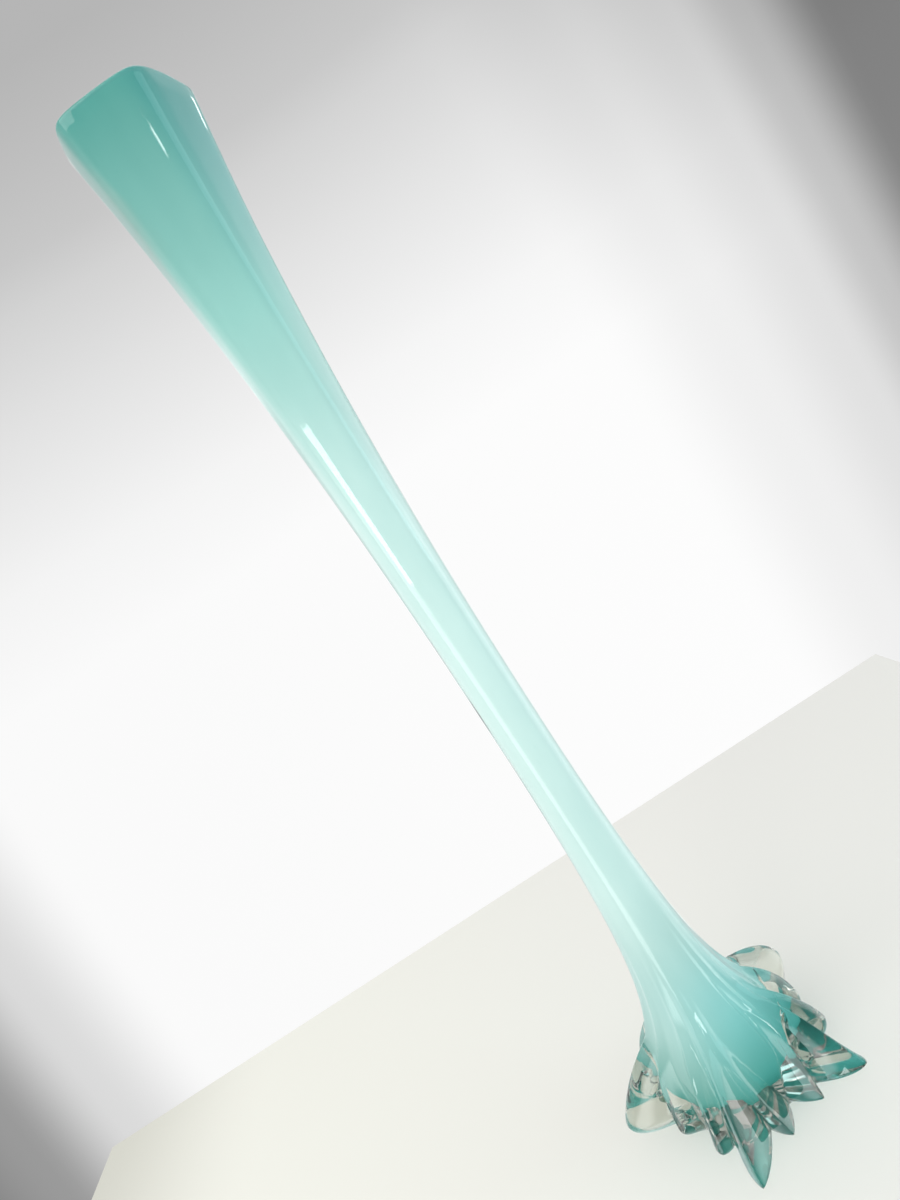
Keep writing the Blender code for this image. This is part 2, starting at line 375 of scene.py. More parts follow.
class GlassFinish(bpy.types.PropertyGroup):
    """Colours of the two glasses, and how much they bend light."""

    clear: bpy.props.FloatVectorProperty(
        name="Clear", description="The casing over the stem", default=(0.96, 0.985, 0.98), subtype="COLOR"
    )
    foot: bpy.props.FloatVectorProperty(
        name="Foot", description="The thick glass of the petals", default=(0.70, 0.72, 0.64), subtype="COLOR"
    )
    mouth: bpy.props.FloatVectorProperty(
        name="Mouth", description="The lining at the mouth", default=(0.10, 0.36, 0.32), subtype="COLOR"
    )
    shoulder: bpy.props.FloatVectorProperty(
        name="Shoulder",
        description="The lining halfway up the trumpet",
        default=(0.33, 0.64, 0.59),
        subtype="COLOR",
    )
    stem: bpy.props.FloatVectorProperty(
        name="Stem", description="The lining along the neck", default=(0.66, 0.87, 0.84), subtype="COLOR"
    )
    bell: bpy.props.FloatVectorProperty(
        name="Bell", description="The lining in the foot", default=(0.09, 0.38, 0.35), subtype="COLOR"
    )
    refraction: bpy.props.FloatProperty(
        name="Refraction",
        description="How much the glass bends light",
        default=1.5,
    )


class StudioSettings(bpy.types.PropertyGroup):
    """Floor, light and camera."""

    floor_colour: bpy.props.FloatVectorProperty(
        name="Floor", description="Colour of the floor", default=(0.77, 0.77, 0.73), subtype="COLOR"
    )
    sky: bpy.props.FloatProperty(name="Sky", description="Strength of the light from all round", default=0.88)
    key: bpy.props.FloatProperty(name="Key", description="Strength of the soft lamp", default=9.0)
    window: bpy.props.FloatProperty(
        name="Window",
        description="Strength of the lamp that the stem mirrors as a window",
        default=2.0,
    )
    gleam: bpy.props.FloatProperty(
        name="Gleam",
        description="Brightness of the room in reflections",
        default=1.3,
    )
    right_gleam: bpy.props.FloatProperty(
        name="Right gleam",
        description="Brightness added low on the room's right side in reflections",
        default=1.8,
    )
    front_gleam: bpy.props.FloatProperty(
        name="Front gleam",
        description="Brightness added low in front on the left in reflections",
        default=3.6,
    )
    mouth_spot: bpy.props.FloatProperty(
        name="Mouth spot", description="Strength of the small lamp mirrored near the mouth", default=0.08
    )
    edge_spot: bpy.props.FloatProperty(
        name="Edge spot",
        description="Strength of the small lamp mirrored down the mouth's right edge",
        default=0.11,
    )
    fill: bpy.props.FloatProperty(
        name="Fill",
        description="Strength of the cool lamp on the right",
        default=3.2,
    )
    eye: bpy.props.FloatVectorProperty(
        name="Eye",
        description="Where the camera is",
        default=(0.00488, -0.3451, 0.2957),
        subtype="XYZ",
        unit="LENGTH",
    )
    pitch: bpy.props.FloatProperty(
        name="Pitch", description="How far the camera looks down", default=math.radians(8.7), subtype="ANGLE"
    )
    roll: bpy.props.FloatProperty(
        name="Roll", description="How far the camera leans", default=math.radians(32.89), subtype="ANGLE"
    )
    lens: bpy.props.FloatProperty(name="Lens", description="Focal length in millimetres", default=27.0)


def ease(share):
    """Smooth step from 0 to 1: three times the square less twice the cube."""
    share = np.clip(share, 0, 1)
    return share * share * (3 - 2 * share)


def body_radius(stem, height):
    """Distance from the axis to a ridge: a power of the height above the neck, and a cubic curve below it.

    The curve leaves the bell and reaches the neck straight up. Two handles say how far it keeps to that.
    """
    up_share = np.clip((height - stem.neck_height) / (stem.height - stem.neck_height), 0, 1)
    trumpet = stem.neck_radius + (stem.mouth_radius - stem.neck_radius) * up_share**stem.trumpet_power
    along = np.linspace(0, 1, CURVE_STEPS)
    curve_height = (
        (1 - along) ** 3 * stem.bell_height
        + 3 * along * (1 - along) ** 2 * (stem.bell_height + stem.flare_bell_handle)
        + 3 * along**2 * (1 - along) * (stem.neck_height - stem.flare_neck_handle)
        + along**3 * stem.neck_height
    )
    curve_radius = stem.bell_radius + (stem.neck_radius - stem.bell_radius) * ease(along)
    flare = np.interp(height, curve_height, curve_radius)
    return np.where(height > stem.neck_height, trumpet, flare)


def between_ridges(stem, angle, height):
    """0 on a ridge and 1 in mid-panel: a polygon rounded by adding high powers of its sides' cosines."""
    half_side = math.pi / stem.side_count
    turned = ease((height - stem.twist_start) / (stem.height - stem.twist_start))
    first = stem.first_ridge + stem.twist * turned
    reach = 0
    for side in range(stem.side_count):
        facing = np.cos(angle - first - half_side * (2 * side + 1))
        reach = reach + np.maximum(facing, 0) ** stem.ridge_sharpness
    on_ridge = 2 * math.cos(half_side) ** stem.ridge_sharpness
    polygon = (reach / on_ridge) ** (-1 / stem.ridge_sharpness)
    return (1 - polygon) / (1 - on_ridge ** (1 / stem.ridge_sharpness))


def body_face(stem, angle, height, inset=0, roundness=0):
    """Radius of a face this far inside the five-sided body: a ridge's radius less the dip between two ridges.

    Flat panels dip by the whole corner, and these by their flatness times that. Roundness takes the dip away.
    """
    rise = ease((height - stem.neck_height) / (stem.height - stem.neck_height))
    flatness = stem.neck_flatness + (stem.mouth_flatness - stem.neck_flatness) * rise
    corner = 1 - math.cos(math.pi / stem.side_count)
    dip = (1 - roundness) * flatness * corner * between_ridges(stem, angle, height)
    return body_radius(stem, height) * (1 - dip) - inset


def bore_face(stem, walls, angle, height, deeper):
    """Radius of a face this much deeper than the casing's wall, which eases from mouth to neck to bell."""
    above = ease((height - stem.neck_height) / (stem.height - stem.neck_height))
    below = ease((stem.neck_height - height) / (stem.neck_height - stem.bell_height))
    wall = walls.neck_casing + (walls.mouth_casing - walls.neck_casing) * above
    wall = wall + (walls.bell_casing - walls.neck_casing) * below
    return body_face(stem, angle, height, wall + deeper, walls.roundness)


def leaning_crest(away, width, skew, power):
    """1 on a crest, falling by a power to 0 at its feet. The skew makes its right flank the narrower one."""
    away = np.mod(away + math.pi, 2 * math.pi) - math.pi
    flank = width * (1 - skew * np.sign(away))
    return 1 - np.clip(np.abs(away) / flank, 0, 1) ** power


def tip_crest(stem, foot, height, tip):
    """How much of its reach one tip has at a height, and the direction of its crest there.

    Upwards the reach falls away by a power, and under the tip it is a quarter of an ellipse. The crest swings
    to one side as the reach falls away.
    """
    lift = foot.tip_lift[tip]
    tip_height = foot.tip_height * lift
    above = np.clip((height - tip_height) / (foot.root_height - tip_height), 0, 1)
    below = np.clip((tip_height - height) / (tip_height - foot.clearance * lift), 0, 1)
    ground = foot.underside * max(1 - lift, 0)
    under = ground + (1 - ground) * np.sqrt(1 - below**2)
    profile = np.where(height > tip_height, 1 - above ** foot.tip_fullness[tip], under)
    direction = stem.first_ridge + (tip + foot.tip_turn[tip]) * 2 * math.pi / TIP_COUNT
    return profile, direction + foot.rib_turn[tip] * (1 - profile) * (height > tip_height)


def rib_share(foot, height):
    """1 at the petals' roots and below, falling by a power to 0 where the ribs run out."""
    return np.clip((foot.rib_top - height) / (foot.rib_top - foot.root_height), 0, 1) ** foot.rib_fade


def loose_crest(foot, height):
    """Direction of the loose ridge, which swings to the right on its way up until it is fully grown."""
    return foot.loose_ridge - foot.loose_turn * (1 - ease(height / foot.loose_end))


def tip_stand_out(stem, foot, angle, height, tip):
    """How far one tip stands out. On its way up it narrows to a rib, which runs on up the flare."""
    profile, direction = tip_crest(stem, foot, height, tip)
    width = foot.rib_width[tip] + (foot.tip_width[tip] - foot.rib_width[tip]) * profile**foot.widening
    power = foot.rib_power + (foot.tip_power[tip] - foot.rib_power) * profile
    crest = leaning_crest(angle - direction, width, foot.tip_skew[tip] * (1 - profile), power)
    rib = foot.rib_height * foot.tip_rib[tip] * rib_share(foot, height)
    return crest * (foot.reach * foot.tip_reach[tip] * profile + rib)


def casing_face(stem, foot, angle, height):
    """Radius of the casing's outer face: the body, its ground edge rounded, and the highest tip or ridge."""
    tips = [tip_stand_out(stem, foot, angle, height, tip) for tip in range(TIP_COUNT)]
    away = angle - loose_crest(foot, height)
    loose = leaning_crest(away, foot.loose_width, foot.loose_skew, foot.rib_power)
    tips.append(loose * foot.loose_height * rib_share(foot, height) * ease(height / foot.loose_end))
    corner = np.clip(1 - height / foot.ground_round, 0, 1)
    edge = foot.ground_round * (1 - np.sqrt(1 - corner**2))
    return body_face(stem, angle, height, edge) + np.max(tips, axis=0)


def directions(stem, steps):
    """Directions round the axis, from the first ridge on."""
    return (stem.first_ridge + np.arange(steps) * 2 * math.pi / steps)[None, :]


def casing_directions(stem, foot, levels, per_crest):
    """Directions of the casing's columns at each height, which crowd round every crest up to the ribs' tops.

    Between two crests a column's share of the way is its plain share less a sine of it. Above the ribs the
    columns ease over to even spacing.
    """
    crests = [tip_crest(stem, foot, levels, tip)[1] for tip in range(TIP_COUNT)]
    crests = np.sort(np.concatenate([*crests, loose_crest(foot, levels)], axis=1), axis=1)
    gaps = np.diff(np.append(crests, crests[:, :1] + 2 * math.pi, axis=1), axis=1)
    share = np.arange(per_crest) / per_crest
    share = share - foot.column_crowding * np.sin(2 * math.pi * share) / (2 * math.pi)
    crowded = (crests[:, :, None] + gaps[:, :, None] * share).reshape(len(levels), -1)
    even = directions(stem, crowded.shape[1])
    rise = ease((levels - foot.rib_top) / (stem.neck_height - foot.rib_top))
    return crowded * (1 - rise) + even * rise


def rows_of_points(stem, angle, radius, height, lift=0.0):
    """A grid of points round the axis. Near the rim they sink towards one side, most of all at one ridge."""
    near_rim = ease((height - stem.height + stem.rim_drop_reach) / stem.rim_drop_reach)
    dip = np.maximum(np.cos(angle - stem.rim_drop_turn), 0) ** stem.rim_drop_power
    drop = near_rim * (stem.rim_lean * (1 + np.cos(angle - stem.rim_lean_turn)) + stem.rim_drop * dip)
    radius, level = np.broadcast_arrays(radius, height - drop + lift)
    return np.stack([radius * np.cos(angle), radius * np.sin(angle), level], axis=2)


def stem_levels(stem, low, flare_rows, trumpet_rows):
    """Heights from the low one up to the rim's shoulder, closest where the flare bends."""
    flare = low + (stem.neck_height - low) * (np.arange(flare_rows) / flare_rows) ** FLARE_CROWDING
    trumpet = np.linspace(stem.neck_height, stem.height - stem.rim_round, trumpet_rows + 1)
    return np.concatenate([flare, trumpet])[:, None]


def inner_face(stem, walls, angle, deeper, rows):
    """A face this much deeper than the casing's wall: a quarter of an ellipse, then the stem's own shape.

    The flare and the trumpet each have three times as many rows as the rounded floor.
    """
    bell = bore_face(stem, walls, angle, np.array([[stem.bell_height]]), deeper)
    depth = stem.bell_height - walls.floor - deeper
    turn = math.pi / 2 * (1 - np.arange(rows) / rows)[:, None]
    floor = rows_of_points(
        stem,
        angle,
        walls.floor_flat + (bell - walls.floor_flat) * np.cos(turn),
        stem.bell_height - depth * np.sin(turn),
    )
    levels = stem_levels(stem, stem.bell_height, 3 * rows, 3 * rows)
    side = rows_of_points(stem, angle, bore_face(stem, walls, angle, levels, deeper), levels)
    return np.concatenate([floor, side])


def rim(stem, angle, outer, inner):
    """Half an ellipse from one face of a wall over to the other."""
    turn = (math.pi * np.arange(1, RIM_STEPS) / RIM_STEPS)[:, None]
    radius = (outer + inner) / 2 + (outer - inner) / 2 * np.cos(turn)
    shoulder = stem.height - stem.rim_round
    return rows_of_points(stem, angle, radius, np.array([[shoulder]]), lift=stem.rim_round * np.sin(turn))


def closed_body(name, grid, materials, band_slots):
    """Closed mesh through rows of points, from its underside up its outer face and down its inner one.

    Each pair of rows gives a band of four-sided faces with one material, and each end is closed round a pole
    on the axis.
    """
    rows, steps = grid.shape[:2]
    poles = np.array([[0, 0, grid[0, :, 2].mean()], [0, 0, grid[-1, :, 2].mean()]])
    points = np.concatenate([grid.reshape(-1, 3), poles])
    column = np.arange(steps)
    following = (column + 1) % steps
    low = np.arange(rows - 1)[:, None] * steps
    band = np.stack([low + column, low + following, low + steps + following, low + steps + column], axis=2)
    band = band.reshape(-1, 4)
    bottom = np.stack([np.full(steps, rows * steps), following, column], axis=1)
    last = (rows - 1) * steps
    top = np.stack([last + column, last + following, np.full(steps, rows * steps + 1)], axis=1)
    corners = np.concatenate([band.ravel(), bottom.ravel(), top.ravel()])
    counts = np.concatenate([np.full(len(band), 4), np.full(2 * steps, 3)])
    mesh = bpy.data.meshes.new(name)
    mesh.vertices.add(len(points))
    mesh.vertices.foreach_set("co", points.astype(np.float32).ravel())
    mesh.loops.add(len(corners))
    mesh.loops.foreach_set("vertex_index", corners.astype(np.int32))
    mesh.polygons.add(len(counts))
    mesh.polygons.foreach_set("loop_start", (np.cumsum(counts) - counts).astype(np.int32))
    slots = np.concatenate([np.repeat(band_slots, steps), np.repeat(band_slots[[0, -1]], steps)])
    mesh.polygons.foreach_set("material_index", slots.astype(np.int32))
    for material in materials:
        mesh.materials.append(material)
    mesh.update(calc_edges=True)
    mesh.validate()
    mesh.shade_smooth()
    body = bpy.data.objects.new(name, mesh)
    bpy.context.scene.collection.objects.link(body)
    return body


def ground_slots(mesh):
    """Material 1 for the faces of the flat underside, which is ground, and 0 for the rest."""
    middles = np.empty(len(mesh.polygons) * 3)
    mesh.polygons.foreach_get("center", middles)
    return (middles.reshape(-1, 3)[:, 2] < GROUND_LEVEL).astype(np.int32)


def opaque(colour):
    """A colour with full cover."""
    return (*colour, 1)


def between_colours(first, second, share):
    """A colour this share of the way from the first to the second."""
    return [(1 - share) * one + share * other for one, other in zip(first, second)]


def set_stops(ramp, stops):
    """Stops of place and colour on a ramp. A new ramp has two, and the others are added."""
    while len(ramp.elements) < len(stops):
        ramp.elements.new(0.5)
    for element, (place, colour) in zip(ramp.elements, stops):
        element.position = place
        element.color = opaque(colour)


class Wire:
    """A socket in a material. The signs of arithmetic between numbers add Math nodes."""

    def __init__(self, recipe, socket):
        self.recipe = recipe
        self.socket = socket

    def output(self, name):
        """Another output of the same node."""
        return Wire(self.recipe, self.socket.node.outputs[name])

    def math(self, operation, *values):
        """A Math node on these numbers."""
        return self.recipe.node("ShaderNodeMath", {"operation": operation}, dict(enumerate(values)))

    def __add__(self, other):
        return self.math("ADD", self, other)

    __radd__ = __add__

    def __sub__(self, other):
        return self.math("SUBTRACT", self, other)

    def __rsub__(self, other):
        return self.math("SUBTRACT", other, self)

    def __mul__(self, other):
        return self.math("MULTIPLY", self, other)

    __rmul__ = __mul__

    def __truediv__(self, other):
        return self.math("DIVIDE", self, other)


class Recipe:
    """The nodes of one material, or of the world."""

    def __init__(self, owner):
        owner.use_nodes = True
        self.owner = owner
        self.tree = owner.node_tree
        self.tree.nodes.clear()

    def node(self, kind, settings=None, sockets=None, output=0):
        """A node of this kind: its settings first, then the values or links of its sockets."""
        made = self.tree.nodes.new(kind)
        for name, value in (settings or {}).items():
            if name == "stops":
                set_stops(made.color_ramp, value)
            elif name == "interpolation":
                made.color_ramp.interpolation = value
            else:
                setattr(made, name, value)
        for name, value in (sockets or {}).items():
            if isinstance(value, Wire):
                self.tree.links.new(value.socket, made.inputs[name])
            else:
                made.inputs[name].default_value = value
        return Wire(self, made.outputs[output]) if made.outputs else None

    def ramp(self, share, stops, interpolation="EASE"):
        """Colour from a number, through stops of place and colour."""
        settings = {"stops": stops, "interpolation": interpolation}
        return self.node("ShaderNodeValToRGB", settings, {"Fac": share})

    def tones(self, share, stops, interpolation="EASE"):
        """Grey from a number, through stops of place and tone."""
        return self.ramp(share, [(place, (tone, tone, tone)) for place, tone in stops], interpolation)

    def between(self, share, low, high):
        """0 below low and 1 above high, smooth between them."""
        settings = {"interpolation_type": "SMOOTHSTEP"}
        return self.node("ShaderNodeMapRange", settings, {"Value": share, "From Min": low, "From Max": high})

    def band(self, share, start, full, fading, end):
        """0 outside start and end and 1 from full to fading, smooth between them."""
        return self.between(share, start, full) * (1 - self.between(share, fading, end))

    def blend(self, share, first, second, mode="MIX"):
        """A mix of two colours."""
        settings = {"data_type": "RGBA", "blend_type": mode}
        return self.node("ShaderNodeMix", settings, {0: share, 6: first, 7: second}, output=2)

    def tinted(self, colour, tint, share=1.0):
        """A colour times a tint, by a share."""
        return self.blend(share, colour, tint, "MULTIPLY")

    def noise(self, place, scale, detail=2.0):
        """Soft noise from 0 to 1 over a place."""
        return self.node("ShaderNodeTexNoise", None, {"Vector": place, "Scale": scale, "Detail": detail})

    def drawn_out(self, place, squeeze):
        """The place squeezed in height, so that a pattern on it is drawn out along the stem."""
        return self.node("ShaderNodeMapping", None, {"Vector": place, "Scale": (1, 1, squeeze)})

    def place(self):
        """Where a point lies on the vase, in metres."""
        return self.node("ShaderNodeTexCoord", output="Object")

    def axis(self, place, letter):
        """One of a place's three numbers: X to the right, Y away or Z up."""
        return self.node("ShaderNodeSeparateXYZ", None, {0: place}, output=letter)

    def close(self, shader):
        """The shader goes to the output."""
        self.node("ShaderNodeOutputMaterial", None, {"Surface": shader})
        return self.owner


def clear_glass(finish, name, roughness):
    """Clear glass, green where it is thick, with a faint waver of its face.

    Lamps and soft light reach what is inside it through a plain clear stand-in.
    """
    thick_below, thin_above = 0.012, 0.060
    waver_scale, waver_strength, waver_depth = 60.0, 0.03, 0.002
    stand_in_tint = (0.97, 0.985, 0.98)
    recipe = Recipe(bpy.data.materials.new(name))
    place = recipe.place()
    thin = recipe.between(recipe.axis(place, "Z"), thick_below, thin_above)
    waver = recipe.noise(place, waver_scale, detail=1.0)
    bump = {"Strength": waver_strength, "Distance": waver_depth, "Height": waver}
    glass = recipe.node(
        "ShaderNodeBsdfPrincipled",
        None,
        {
            "Base Color": recipe.blend(thin, opaque(finish.foot), opaque(finish.clear)),
            "Roughness": roughness,
            "IOR": finish.refraction,
            "Transmission Weight": 1.0,
            "Normal": recipe.node("ShaderNodeBump", None, bump),
        },
    )
    lamp_ray = recipe.node("ShaderNodeLightPath", output="Is Shadow Ray")
    inner_ray = lamp_ray.math("MAXIMUM", lamp_ray, lamp_ray.output("Is Diffuse Ray"))
    stand_in = recipe.node("ShaderNodeBsdfTransparent", None, {"Color": opaque(stand_in_tint)})
    return recipe.close(recipe.node("ShaderNodeMixShader", None, {0: inner_ray, 1: glass, 2: stand_in}))


def lining_colour(recipe, finish, height):
    """The lining's colour by its share of the vase's height, in straight steps."""
    stops = [
        (0.03, finish.bell),
        (0.10, between_colours(finish.bell, finish.stem, 0.45)),
        (0.24, between_colours(finish.bell, finish.stem, 0.92)),
        (0.45, finish.stem),
        (0.66, between_colours(finish.stem, finish.shoulder, 0.25)),
        (0.82, finish.shoulder),
        (1.00, finish.mouth),
    ]
    return recipe.ramp(height / SOLID_BOX[1][2], stops, "LINEAR")


def lining_glow(recipe, finish, height):
    """The light that comes through the lining: deep at both ends, and pale along the neck."""
    paleness = [(0.03, 0.0), (0.10, 0.45), (0.24, 0.92), (0.45, 1.0), (0.66, 0.86), (0.82, 0.46), (1.00, 0.0)]
    deep = recipe.node("ShaderNodeBsdfTranslucent", None, {"Color": opaque(finish.mouth)})
    pale = recipe.node("ShaderNodeBsdfTranslucent", None, {"Color": opaque(finish.stem)})
    share = recipe.tones(height / SOLID_BOX[1][2], paleness, "LINEAR")
    return recipe.node("ShaderNodeMixShader", None, {0: share, 1: deep, 2: pale})


def opal_glass(finish, name, gloss, roughness):
    """Opal glass: teal at the mouth, pale down the neck and deep turquoise in the bell, faintly clouded. The
    bell has painted light on its left and painted shade on its right, and the mouth has painted shade on its
    right.
    """
    # Tints of painted light on the left of the bell and painted shade on its right
    painted_light_left_tint, painted_shade_right_tint = (1.28, 1.12, 1.12, 1), (0.74, 1.04, 1.07, 1)
    # Tint of painted shade on the right of the mouth
    painted_shade_mouth_tint = (0.62, 0.86, 0.92, 1)
    swirl_colour, swirl_share = (0.30, 0.42, 0.38, 1), 0.30
    milky_tint = (1.07, 1.04, 1.04, 1)
    seed_tint, seed_share, seed_scale = (0.55, 0.7, 0.7, 1), 0.35, 210.0
    glow_share = 0.12
    recipe = Recipe(bpy.data.materials.new(name))
    place = recipe.place()
    side, height = recipe.axis(place, "X"), recipe.axis(place, "Z")
    colour = lining_colour(recipe, finish, height)
    # Painted light and shade: paler on the left of the bell, where the light falls, and deeper on its right
    in_bell = 1 - recipe.between(height, 0.030, 0.085)
    painted_side_light_and_shade = recipe.blend(recipe.between(side, -0.026, 0.012), painted_light_left_tint, painted_shade_right_tint)
    colour = recipe.tinted(colour, painted_side_light_and_shade, in_bell)
    # Painted shade: darker and bluer on the right of the mouth
    near_mouth = recipe.between(height, 0.340, 0.440)
    painted_shade_on_mouth = recipe.blend(recipe.between(side, 0.002, 0.020), UNTINTED, painted_shade_mouth_tint)
    colour = recipe.tinted(colour, painted_shade_on_mouth, near_mouth)
    # Greyish swirls near the rim
    swirl = recipe.noise(recipe.drawn_out(place, squeeze=0.35), scale=55.0)
    near_rim = recipe.between(height, 0.385, 0.420)
    swirled = swirl_share * recipe.between(swirl, 0.52, 0.70) * near_rim
    colour = recipe.blend(swirled, colour, swirl_colour)
    # Milky clouds all over, and tiny seeds in the glass
    cloud = recipe.noise(recipe.drawn_out(place, squeeze=0.22), scale=95.0, detail=3.0)
    colour = recipe.tinted(colour, milky_tint, recipe.between(cloud, 0.35, 0.75))
    sockets = {"Vector": place, "Scale": seed_scale}
    from_seed = recipe.node("ShaderNodeTexVoronoi", None, sockets, output="Distance")
    seed = 1 - recipe.between(from_seed, 0.03, 0.08)
    colour = recipe.tinted(colour, seed_tint, seed_share * seed)
    opal = recipe.node(
        "ShaderNodeBsdfPrincipled",
        None,
        {
            "Base Color": colour,
            "Roughness": roughness,
            "IOR": finish.refraction,
            "Specular IOR Level": gloss,
        },
    )
    glow = lining_glow(recipe, finish, height)
    return recipe.close(recipe.node("ShaderNodeMixShader", None, {0: glow_share, 1: opal, 2: glow}))


def settings_of(context):
    """The vase's groups of settings on this scene."""
    scene = context.scene
    return scene.vase_stem, scene.vase_walls, scene.vase_foot, scene.vase_glass


class VASE_OT_clear_casing(bpy.types.Operator):
    """Build the clear casing with its ribbed flare and petalled foot"""

    bl_idname = "vase.clear_casing"
    bl_label = "Clear Casing"

    def execute(self, context):
        stem, walls, foot, finish = settings_of(context)
        levels = foot.root_height * (np.arange(FOOT_ROWS) / FOOT_ROWS)[:, None] ** FOOT_CROWDING
        levels = np.concatenate([levels, stem_levels(stem, foot.root_height, FLARE_ROWS, TRUMPET_ROWS)])
        around = casing_directions(stem, foot, levels, COLUMNS_PER_CREST)
        outside = rows_of_points(stem, around, casing_face(stem, foot, around, levels), levels)
        angle = directions(stem, around.shape[1])
        shoulder = np.array([[stem.height - stem.rim_round]])
        depth = walls.lining_gap + walls.fusion
        bore = bore_face(stem, walls, angle, shoulder, depth)
        top = rim(stem, angle, body_face(stem, angle, shoulder), bore)
        grid = np.concatenate([outside, top, inner_face(stem, walls, angle, depth, BORE_ROWS)[::-1]])
        clear = clear_glass(finish, "clear_glass", roughness=0.035)
        ground = clear_glass(finish, "ground_glass", roughness=0.12)
        all_clear = np.zeros(len(grid) - 1, int)
        casing = closed_body("clear_casing_glass", grid, [clear, ground], all_clear)
        casing.data.polygons.foreach_set("material_index", ground_slots(casing.data))
        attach(casing, "root")
        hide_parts("clear_casing")
        return {"FINISHED"}


class VASE_OT_opal_lining(bpy.types.Operator):
    """Build the opal lining inside the casing"""

    bl_idname = "vase.opal_lining"
    bl_label = "Opal Lining"

    def execute(self, context):
        stem, walls, _, finish = settings_of(context)
        angle = directions(stem, LINING_COLUMNS)
        deep = walls.lining_gap + walls.lining
        outside = inner_face(stem, walls, angle, walls.lining_gap, LINING_ROWS)
        inside = inner_face(stem, walls, angle, deep, LINING_ROWS)[::-1]
        shoulder = np.array([[stem.height - stem.rim_round]])
        outer = bore_face(stem, walls, angle, shoulder, walls.lining_gap)
        top = rim(stem, angle, outer, bore_face(stem, walls, angle, shoulder, deep))
        grid = np.concatenate([outside, top, inside])
        cased = opal_glass(finish, "opal_glass", gloss=0.0, roughness=0.5)
        bare = opal_glass(finish, "opal_glass_inside", gloss=0.5, roughness=0.12)
        past_outside = (np.arange(len(grid) - 1) >= len(outside) - 1).astype(int)
        lining = closed_body("opaline_liner_glass", grid, [cased, bare], past_outside)
        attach(lining, "root")
        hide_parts("opaline_liner")
        return {"FINISHED"}


def lamp(name, place, target, width, height, power, colour=WHITE):
    """A soft rectangular lamp that faces its target."""
    data = bpy.data.lights.new(name, "AREA")
    data.shape = "RECTANGLE"
    data.size = width
    data.size_y = height
    data.energy = power
    data.color = colour
    made = bpy.data.objects.new(name, data)
    made.location = place
    made.rotation_euler = (Vector(target) - Vector(place)).to_track_quat("-Z", "Y").to_euler()
    bpy.context.scene.collection.objects.link(made)


def wall_tone(recipe, up, turn):
    """The white wall round the stage, which darkens upwards and in both far corners."""
    by_height = [
        (0.02, 0.98), (0.50, 0.975), (0.60, 0.92), (0.74, 0.765),
        (0.82, 0.66), (0.86, 0.58), (0.98, 0.47),
    ]
    by_turn = [
        (0.02, 0.75), (0.13, 0.18), (0.175, 0.33), (0.21, 0.72), (0.255, 0.98), (0.64, 1.0),
        (0.70, 0.89), (0.745, 0.77), (0.77, 0.57), (0.80, 0.24), (0.90, 0.25), (1.0, 0.75),
    ]
    return recipe.tones(up + 0.5, by_height, "LINEAR") * recipe.tones(turn * 0.5 + 0.5, by_turn)


def mirrored_room(recipe, studio, right, away, up, turn):
    """The room that gloss mirrors: dark behind the camera, with shaded corners and two gleams down low."""
    side_shade, corner_shade = 0.45, 0.42
    behind_camera, beyond_vase = (0.15, 0.10), (0.50, 0.95)
    gleam_right, gleam_away, gleam_up = -0.62, -0.74, -0.26
    low = 1 - recipe.between(up, -0.12, 0.04)
    left_high = recipe.between(up, 0.12, 0.30) * (1 - recipe.between(right, -0.25, 0.0))
    right_high = recipe.between(up, 0.10, 0.25) * recipe.between(right, 0.78, 0.88)
    far_right = recipe.band(turn, 0.12, 0.28, 0.52, 0.68)
    far_left = recipe.band(-1 * turn, 0.12, 0.28, 0.52, 0.68) * (1 - recipe.between(up, 0.05, 0.15))
    right_side = recipe.between(right, 0.70, 0.92) * low
    toward_gleam = gleam_right * right + gleam_away * away + gleam_up * up
    front_left = recipe.between(toward_gleam, 0.88, 0.98) * low
    room = recipe.tones(away * 0.5 + 0.5, [behind_camera, beyond_vase]) * studio.gleam
    room = room * (1 - side_shade * left_high) * (1 - side_shade * right_high)
    room = room * (1 - corner_shade * (far_right + far_left))
    return room + studio.right_gleam * right_side + studio.front_gleam * front_left


def seen_through(recipe, wall, through, right, up):
    """The wall, shaded at both sides where glass shows it, which gives the clear glass its dark edges."""
    low_shade, high_shade = 0.15, 0.35
    sides = recipe.between(right * right, 0.12, 0.40)
    return wall * (1 - through * sides * (low_shade + high_shade * recipe.between(up, 0.0, 0.15)))


def studio_world(studio):
    """The wall for the camera and through glass, a room for gloss, and an even light for all else."""
    world = bpy.data.worlds.new("studio_world")
    bpy.context.scene.world = world
    recipe = Recipe(world)
    camera = recipe.node("ShaderNodeLightPath", output="Is Camera Ray")
    through = camera.output("Is Transmission Ray")
    gloss = camera.output("Is Glossy Ray")
    toward = recipe.node("ShaderNodeTexCoord", output="Generated")
    right, away, up = (recipe.axis(toward, letter) for letter in "XYZ")
    turn = right.math("ARCTAN2", right, away)
    wall = seen_through(recipe, wall_tone(recipe, up, turn), through, right, up)
    room = mirrored_room(recipe, studio, right, away, up, turn)
    shade = recipe.blend(gloss * (1 - through), wall, room)
    backdrop = recipe.node("ShaderNodeBackground", None, {"Color": shade, "Strength": 1.0})
    light = recipe.node("ShaderNodeBackground", None, {"Color": UNTINTED, "Strength": studio.sky})
    seen = camera + gloss + through
    both = recipe.node("ShaderNodeMixShader", None, {0: seen, 1: light, 2: backdrop})
    recipe.node("ShaderNodeOutputWorld", None, {"Surface": both})


